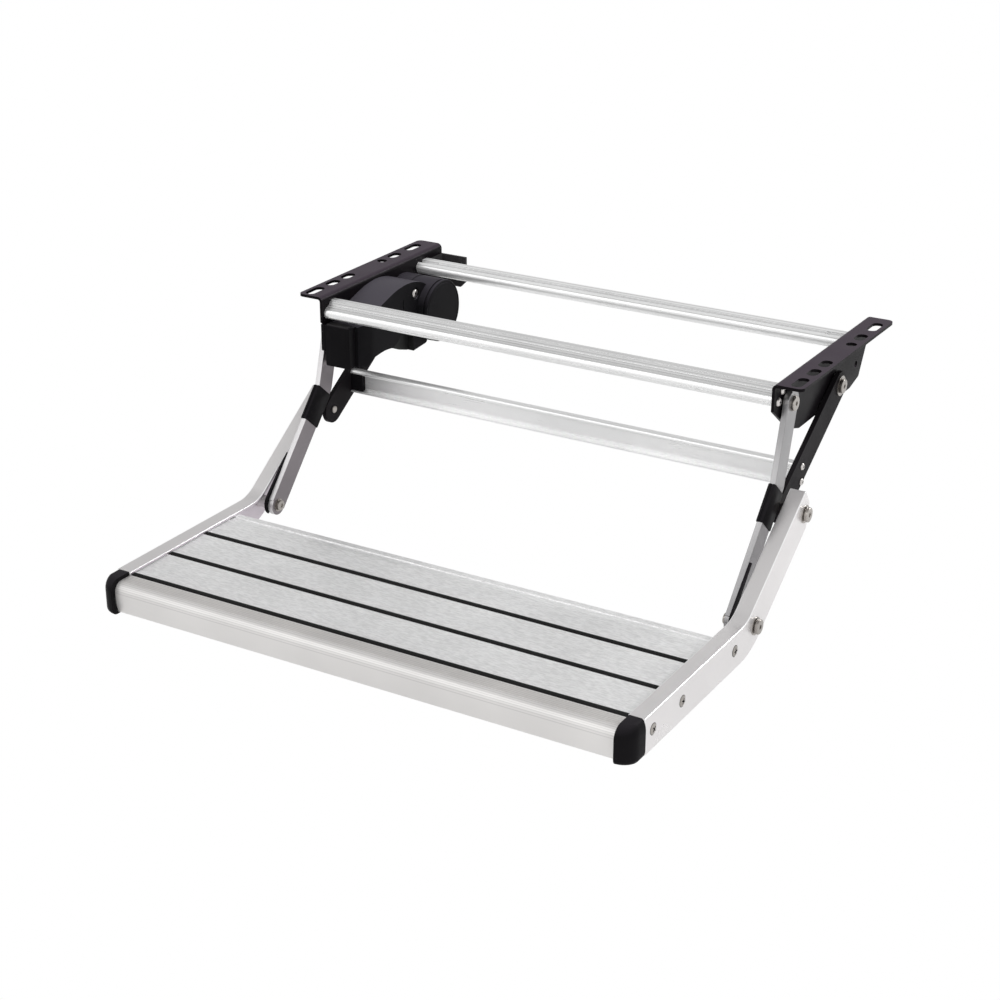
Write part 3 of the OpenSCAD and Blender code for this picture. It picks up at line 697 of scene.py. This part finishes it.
def oval_head(name, radius):
    """A countersunk head with a ring of painted shadow where it meets its hole."""
    return screw_head(name, [
        (-8.0, 1.7, None), (-2.1, 1.9, None), (-0.2, radius - 1.6, None), (0.10, radius + 0.5, "rim"),
        (0.16, radius + 0.5, "rim"), (0.16, radius - 0.5, "rim"), (0.2, radius - 0.1, None),
        (0.3, radius, None), (0.75, radius - 0.6, None), (1.1, radius * 0.66, None),
        (1.2, radius * 0.62, "cross"), (-1.4, radius * 0.46, "cross")])


def screw_head(name, rings):
    """A turned head that faces +X, seated at x 0, not linked to the scene."""
    bm = bmesh.new()
    lathe_into(bm, rings, (0.0, 0.0, 0.0), steps=64)
    mesh = finish_mesh(bm, name)
    mesh.materials.append(zinc)
    # The second material is painted shade for the recess and the ring
    mesh.materials.append(recess_painted_shade)
    return bpy.data.objects.new(name, mesh)


def repeat_tree():
    """A copy of Head on every point, with a seeded spin, turned to the left side where Outward is set."""
    tree, inside, outside = new_tree(
        "repeat_heads", "GeometryNodeTree",
        (("Geometry", "Geometry"), ("Head", "Object"), ("Material", "Material"),
         ("Outward", "Bool"), ("Seed", "Int")), (("Geometry", "Geometry"),))
    points = node(tree, "GeometryNodeMeshToPoints")
    head = node(tree, "GeometryNodeObjectInfo")
    copies = node(tree, "GeometryNodeInstanceOnPoints")
    # Its inputs 2 and 3 are the limits of a float, and its output 1 is the float
    spin = node(tree, "FunctionNodeRandomValue", data_type="FLOAT")
    spin.inputs[2].default_value = 0.0
    spin.inputs[3].default_value = math.pi
    position = node(tree, "GeometryNodeInputPosition")
    left = node(tree, "FunctionNodeCompare", data_type="FLOAT", operation="LESS_THAN")
    left.inputs[1].default_value = 0.0
    turn = node(tree, "FunctionNodeBooleanMath", operation="AND")
    angles = node(tree, "ShaderNodeCombineXYZ")
    real = node(tree, "GeometryNodeRealizeInstances")
    # Its inputs 2 and 3 are the integers, and it picks the faces with material 0
    index = node(tree, "GeometryNodeInputMaterialIndex")
    outer = node(tree, "FunctionNodeCompare", data_type="INT", operation="EQUAL")
    coat = node(tree, "GeometryNodeSetMaterial")
    link = tree.links.new
    link(inside.outputs["Geometry"], points.inputs["Mesh"])
    link(inside.outputs["Head"], head.inputs["Object"])
    link(inside.outputs["Seed"], spin.inputs["Seed"])
    link(points.outputs["Points"], copies.inputs["Points"])
    link(head.outputs["Geometry"], copies.inputs["Instance"])
    link(split_xyz(tree, position.outputs["Position"])["X"], left.inputs[0])
    link(left.outputs["Result"], turn.inputs[0])
    link(inside.outputs["Outward"], turn.inputs[1])
    link(spin.outputs[1], angles.inputs["X"])
    link(maths(tree, "MULTIPLY", turn.outputs["Boolean"], math.pi), angles.inputs["Z"])
    link(angles.outputs["Vector"], copies.inputs["Rotation"])
    link(copies.outputs["Instances"], real.inputs["Geometry"])
    link(real.outputs["Geometry"], coat.inputs["Geometry"])
    link(index.outputs["Material Index"], outer.inputs[2])
    link(outer.outputs["Result"], coat.inputs["Selection"])
    link(inside.outputs["Material"], coat.inputs["Material"])
    link(coat.outputs["Geometry"], outside.inputs["Geometry"])
    return tree


REPEAT = repeat_tree()


def screws(name, node_name, body, head, places, outward=True, seed=3, metal=zinc):
    """A copy of the head at each place of (x, y, z) in millimetres."""
    mesh = bpy.data.meshes.new(name)
    mesh.from_pydata([tuple(v * MM for v in p) for p in places], [], [])
    obj = add_object(name, mesh)
    repeat = obj.modifiers.new("repeat", "NODES")
    repeat.node_group = REPEAT
    for label, value in (("Head", head), ("Material", metal), ("Outward", outward), ("Seed", seed)):
        set_input(repeat, label, value)
    settle(obj)
    smooth(obj.data)
    # Painted shade in the recesses of the heads
    place(obj, body, metal, recess_painted_shade)
    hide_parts(node_name)


def both_sides(x, spots):
    """The (y, z) spots at x and at -x."""
    return [(sign * x, y, z) for sign in (1.0, -1.0) for y, z in spots]


def add_screws():
    pan = pan_head("pan_head", 4.4, 2.4)
    small = pan_head("small_pan_head", 3.6, 1.9)
    sunk = oval_head("oval_head", 5.3)
    wide = pan_head("wide_pan_head", 4.8, 2.2)
    screws("crossbar_screw_heads", "crossbar_screws", "brackets", pan,
           both_sides(BRACKET_FACE, [(-136.5, -20.5), (48.5, -13.7), (-127.0, -11.5)]))
    screws("channel_screw_heads", "lower_crossbar_screws", "rear_arms", small,
           both_sides(REAR_ARM_FACE, [(-82.0, -104.7), (-82.0, -121.0)]), seed=5)
    screws("housing_screw_head", "housing_screws", "brackets", wide,
           [(-220.3, -27.0, -21.0)], outward=False, seed=1)
    screws("side_screw_heads", "side_screws", "tread", sunk,
           both_sides(SIDE_ARM_FACE - 0.1, [(y, -215.3) for y in (-443.8, -386.8, -276.8)]), seed=8,
           metal=steel)


# Drive: arched housing with a drum behind it, round cover, connector box

def add_housing():
    arch = spline([(-112, -31.5), (-108, -22), (-98, -17.5), (-84, -13), (-70, -9), (-58, -6.8),
                   (-44, -5.8), (-30, -7), (-16, -10.6), (-5, -16)])
    underside = spline([(-50, -81), (-62, -75.5), (-72, -71), (-90, -69), (-112, -71)], 3)
    outline = ([(-131, -78), (-131, -31.5)] + arch + [(-5, -82.5), (-8, -84), (-34, -86)]
               + underside + [(-118, -77), (-121, -79)])
    body = prism("housing_shell", outline, HOUSING_BACK, HOUSING_FRONT)
    pocket = bmesh.new()
    lathe_into(pocket, [(-2.0, 6.6, None), (3.0, 6.6, None)], (HOUSING_FRONT, -27.0, -21.0))
    cut_from(body, add_object("pocket", finish_mesh(pocket, "pocket")))
    curve = spline([(-54, -52), (-58, -60), (-65, -67), (-77, -72)])
    body.data.materials.append(housing_plastic)
    # The recess's faces get painted shade
    recess = prism("recess", curve + [(-66, -90), (-33, -90), (-33, -52)], -226.4, -217.0)
    recess.data.materials.append(recess_painted_shade)
    cut_from(body, recess)
    cut_from(body, prism("split", [(-52.5, -22), (-51.3, -22), (-51.3, -34), (-52.5, -34)], -220.4, -217.0))
    corner = [(-226.0, -134.0), (-216.0, -134.0), (-216.0, -113.0), (HOUSING_FRONT, -113.0)]
    cut_from(body, column("corner", corner, -90.0, 0.0))
    round_edges(body, 2.2, 4, 50.0)
    settle(body)
    place(body, "brackets", housing_plastic, recess_painted_shade)
    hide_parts("gear_housing")


def add_turned(name, rings, x):
    """A turned plastic piece on the rear axle, from x toward the middle of the step."""
    bm = bmesh.new()
    lathe_into(bm, rings, (x, *P_REAR), steps=96)
    obj = add_object(name, finish_mesh(bm, name))
    place(obj, "brackets", drum_plastic)
    return obj


def add_drum_and_cover():
    add_turned("housing_drum", [
        (0.0, 34.0, None), (0.4, 35.2, None), (20.0, 35.2, None), (20.4, 34.4, None), (23.4, 34.4, None),
        (23.8, 35.2, None), (47.0, 35.2, None), (48.6, 34.6, None), (49.0, 33.0, None)], HOUSING_BACK)
    lid = add_turned("cover_shell", [
        (0.0, 32.5, None), (0.5, 33.5, None), (16.4, 33.5, None), (16.8, 34.6, None), (17.2, 35.0, None),
        (18.6, 35.0, None), (19.5, 34.6, None), (20.0, 33.8, None), (20.0, 32.6, None), (19.6, 32.2, None),
        (19.6, 31.4, None), (19.9, 31.0, None), (20.0, 28.0, None)], -225.4)
    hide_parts("gear_cover")


def rounded_box(name, low, high, width, segments=3):
    """A box between two corners in millimetres, with its edges rounded."""
    outline = [(low[1], low[2]), (high[1], low[2]), (high[1], high[2]), (low[1], high[2])]
    obj = prism(name, outline, low[0], high[0])
    round_edges(obj, width, segments)
    settle(obj)
    return obj


def add_connector():
    box = rounded_box("connector_shell", (-259.4, -143.0, -77.0), (-228.4, -130.5, -31.0), 1.4)
    seam = rounded_box("connector_seam", (-257.4, -142.2, -31.2), (-230.4, -133.0, -29.8), 0.4, 2)
    wing = rounded_box("connector_wing", (-264.6, -142.8, -61.0), (-259.2, -131.0, -31.0), 0.8, 2)
    for obj in (box, wing):
        place(obj, "brackets", black_plastic)
    place(seam, "brackets", tab_grey)
    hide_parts("connector_box")


def add_channel_stop():
    """Black stop inside the left end of the lower crossbar's channel."""
    stop = rounded_box("channel_stop", (-263.8, -91.0, -121.8), (-248.5, -85.6, -101.4), 0.6, 2)
    place(stop, "rear_arms", black_plastic)


def quarter_turn(steps):
    """Cosine and sine of even angles from 0 to 90 degrees."""
    angles = [math.pi / 2 * i / steps for i in range(steps + 1)]
    return [(math.cos(angle), math.sin(angle)) for angle in angles]


# End caps, moulded with a large round corner, a rounded crown and a rounded toe

def add_end_caps():
    top, bottom = -198.1, -235.2
    back, front = -459.6, -487.8
    inner, outer, corner = 276.5, 293.0, 17.5
    crown, toe = 12.0, 6.5
    levels = [(bottom + toe * (1.0 - cos), 3.0 * (1.0 - sin), 7.5 * (1.0 - sin))
              for cos, sin in quarter_turn(6)]
    levels += [(top - crown + crown * sin, 5.0 * (1.0 - cos), crown * (1.0 - cos))
               for cos, sin in quarter_turn(12)]
    for side, sign in SIDES:
        bm = bmesh.new()
        loops = []
        for z, off_side, off_front in levels:
            loop = [(inner, back), (outer - off_side, back)]
            for cos, sin in quarter_turn(16):
                x = outer - corner + (corner - off_side) * cos
                loop.append((max(x, inner), front + corner - (corner - off_front) * sin))
            loops.append([bm.verts.new((sign * x * MM, y * MM, z * MM)) for x, y in loop])
        name = side + "_cap_shell"
        cap = add_object(name, skin(bm, loops, name, 40.0))
        place(cap, "tread", black_plastic)
        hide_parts(side + "_end_cap")


# Buffer sleeves and strips of painted shade sit on the lower run of the front arms, from the elbow to the
# foot pivot

def lower_run():
    """Elbow, foot and direction of the lower run, as (y, z)."""
    foot, top = Vector(P_FOOT), Vector(P_FRONT)
    along = (foot - top).normalized()
    elbow = top + along * ELBOW[0] + Vector((-along.y, along.x)) * ELBOW[1]
    return elbow, foot, (foot - elbow).normalized()


def add_sleeves():
    """Moulded sleeves with a groove along their front and back edges."""
    elbow, _, run = lower_run()
    ahead = Vector((-run.y, run.x))
    start, length = elbow + run * 3.0, 40.0
    half, x_in, x_out = 13.6, 263.3, 270.9
    mid = (x_in + x_out) / 2
    section = [(-half + 1.0, x_in), (half - 1.0, x_in), (half, x_in + 1.0), (half, mid - 1.2),
               (half - 0.9, mid - 0.8), (half - 0.9, mid + 0.8), (half, mid + 1.2), (half, x_out - 1.0),
               (half - 1.0, x_out), (-half + 1.0, x_out), (-half, x_out - 1.0), (-half, mid + 1.2),
               (-half + 0.9, mid + 0.8), (-half + 0.9, mid - 0.8), (-half, mid - 1.2), (-half, x_in + 1.0)]
    stations = [(0.0, 0.93), (0.6, 1.0), (length - 0.6, 1.0), (length, 0.93)]
    for side, sign in SIDES:
        bm = bmesh.new()
        loops = []
        for t, size in stations:
            loop = []
            for n, x in section:
                p = start + run * t + ahead * (n * size)
                loop.append(bm.verts.new((sign * (mid + (x - mid) * size) * MM, p.x * MM, p.y * MM)))
            loops.append(loop)
        name = side + "_sleeve_shell"
        sleeve = add_object(name, skin(bm, loops, name, 50.0))
        place(sleeve, side + "_front_arm", black_plastic)
        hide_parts(side + "_sleeve")


def add_shade_strips():
    """Painted shade: a black edge behind each front arm, next to the side arm, that runs round the foot
    pivot, where the inside of the side arm lies in shadow.
    """
    _, foot, run = lower_run()
    edge = Vector((run.y, -run.x))
    length, inset, tail, end = 56.0, 9.0, 15.6, 3.0
    outer, inner = [], []
    for i in range(8):
        t = i / 7
        spot = foot - run * length * (1.0 - t)
        outer.append(spot + edge * (11.0 + 4.6 * t ** 0.6))
        inner.append(spot + edge * inset)
    for i in range(1, 8):
        angle = math.radians(80.0) * i / 7
        way = edge * math.cos(angle) + run * math.sin(angle)
        outer.append(foot + way * (tail - end * i / 7))
        inner.append(foot + way * inset)
    outline = [(p.x, p.y) for p in outer + inner[::-1]]
    for side, sign in SIDES:
        shade_piece = prism(side + "_wear_pad", outline, *sorted((sign * 270.2, sign * 272.4)))
        place(shade_piece, side + "_front_arm", black_plastic)


add_pivot_bolts()
add_foot_nuts()
add_screws()
add_housing()
add_drum_and_cover()
add_connector()
add_channel_stop()
add_end_caps()
add_sleeves()
add_shade_strips()


# Camera, light, floor

def add_camera():
    """The photograph's viewpoint, from a camera fit."""
    data = bpy.data.cameras.new("camera")
    data.lens = 72.76
    data.sensor_width = 36.0
    cam = bpy.data.objects.new("camera", data)
    cam.location = (0.9559, -1.8137, 0.6568)
    cam.rotation_euler = (math.radians(90.0 - 23.44), 0.0, math.radians(30.82))
    bpy.context.scene.collection.objects.link(cam)
    bpy.context.scene.camera = cam


def add_area(name, location, aim, size, power, mirrored=True):
    """A rectangular lamp. Where not mirrored, shiny pieces don't show it."""
    data = bpy.data.lights.new(name, "AREA")
    data.shape = "RECTANGLE"
    data.size, data.size_y = size
    data.energy = power
    lamp = bpy.data.objects.new(name, data)
    lamp.location = location
    lamp.visible_glossy = mirrored
    lamp.rotation_euler = (Vector(aim) - Vector(location)).to_track_quat("-Z", "Y").to_euler()
    bpy.context.scene.collection.objects.link(lamp)


def grey_stops(*stops):
    return [(position, grey(value)) for position, value in stops]


def add_world():
    """White to the camera. As light, a room that is brighter in front and to the right, duller overhead."""
    world = bpy.data.worlds.new("studio")
    bpy.context.scene.world = world
    world.use_nodes = True
    tree = world.node_tree
    tree.nodes.clear()
    out = node(tree, "ShaderNodeOutputWorld")
    rays = node(tree, "ShaderNodeLightPath")
    seen = node(tree, "ShaderNodeBackground")
    seen.inputs["Color"].default_value = (*grey(1.0), 1.0)
    room = node(tree, "ShaderNodeBackground")
    way = node(tree, "ShaderNodeTexCoord").outputs["Generated"]
    toward = node(tree, "ShaderNodeVectorMath", operation="DOT_PRODUCT")
    toward.inputs[1].default_value = (0.55, -0.83, 0.0)
    around = node(tree, "ShaderNodeValToRGB")
    set_ramp(around, grey_stops((0.0, 0.52), (0.16, 0.58), (0.30, 0.86), (0.55, 0.98), (1.0, 0.98)))
    overhead = node(tree, "ShaderNodeValToRGB")
    set_ramp(overhead, grey_stops((0.0, 1.0), (0.50, 1.0), (0.80, 0.56), (1.0, 0.52)))
    both = node(tree, "ShaderNodeMix", data_type="RGBA", blend_type="MULTIPLY")
    both.inputs["Factor"].default_value = 1.0
    mix = node(tree, "ShaderNodeMixShader")
    link = tree.links.new
    link(way, toward.inputs[0])
    link(map_range(tree, toward.outputs["Value"], -1.0, 1.0), around.inputs["Fac"])
    link(split_xyz(tree, way)["Z"], overhead.inputs["Fac"])
    link(around.outputs["Color"], both.inputs[MIX_A])
    link(overhead.outputs["Color"], both.inputs[MIX_B])
    link(both.outputs[MIX_RESULT], room.inputs["Color"])
    link(rays.outputs["Is Camera Ray"], mix.inputs["Fac"])
    link(room.outputs["Background"], mix.inputs[1])
    link(seen.outputs["Background"], mix.inputs[2])
    link(mix.outputs["Shader"], out.inputs["Surface"])


def add_floor():
    """Pale floor below the step, plain white to the camera."""
    bpy.ops.mesh.primitive_plane_add(size=8.0, location=(0.0, 0.0, -0.42))
    floor = bpy.context.object
    floor.name = "floor"
    mat, tree, shader = new_material("pale_floor")
    shader.inputs["Base Color"].default_value = (*grey(0.85), 1.0)
    shader.inputs["Roughness"].default_value = 0.9
    rays = node(tree, "ShaderNodeLightPath")
    glow = node(tree, "ShaderNodeEmission")
    mix = node(tree, "ShaderNodeMixShader")
    link = tree.links.new
    link(rays.outputs["Is Camera Ray"], mix.inputs["Fac"])
    link(shader.outputs["BSDF"], mix.inputs[1])
    link(glow.outputs["Emission"], mix.inputs[2])
    link(mix.outputs["Shader"], tree.nodes["Material Output"].inputs["Surface"])
    paint(floor, mat)


add_camera()
add_world()
add_floor()
add_area("key", (-0.9, -2.0, 1.5), (0.0, -0.2, -0.1), (1.6, 1.2), 8.0)
add_area("back_right", (1.1, 1.95, 1.2), (0.28, -0.35, -0.2), (0.7, 0.7), 18.0)
add_area("top", (0.2, 0.0, 2.0), (0.0, -0.2, -0.1), (1.8, 1.4), 10.0, False)
add_area("right", (2.2, -0.8, 0.6), (0.0, -0.2, -0.1), (1.2, 1.2), 7.0, False)

bpy.context.scene.view_settings.view_transform = "Standard"
